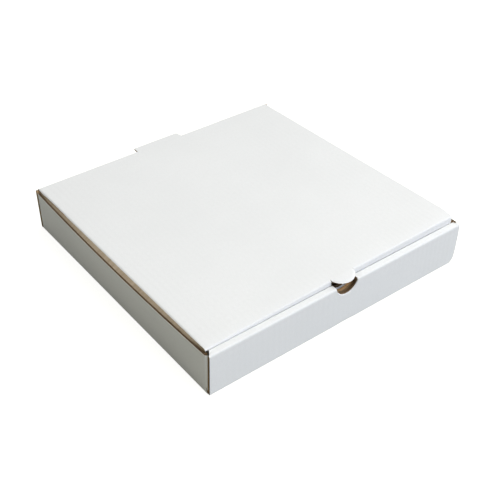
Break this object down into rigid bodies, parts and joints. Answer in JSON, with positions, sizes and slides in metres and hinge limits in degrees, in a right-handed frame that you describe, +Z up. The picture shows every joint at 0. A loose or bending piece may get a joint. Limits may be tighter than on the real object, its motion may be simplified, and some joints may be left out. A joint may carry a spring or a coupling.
{
  "type": "pizza box",
  "caption": "Flat square box folded from white-lined corrugated board, with a hinged tuck-in lid, a thumb tab over a finger notch and a rolled front wall.",
  "frame": {"origin": "middle of the floor's underside, on the table", "axes": "+Z up, -Y towards the front wall with the finger notch, +Y towards the lid's crease, +X to the right as seen from the front"},
  "size_m": [0.3186, 0.3264, 0.0545],
  "materials": {
    "tray_board": "matt white clay-coated liner outside, brown kraft inside and at the raw edges",
    "lid_board": "matt white clay-coated liner outside, brown kraft inside and at the raw edges"
  },
  "bodies": {
    "tray": {"tray": "tray_board"},
    "lid": {"lid": "lid_board"}
  },
  "joints": [
    {"name": "lid_hinge", "type": "hinge", "parent": "tray", "child": "lid", "pos_m": [0, 0.1565, 0.047], "axis": [-1, 0, 0], "range_deg": [0, 180]}
  ]
}
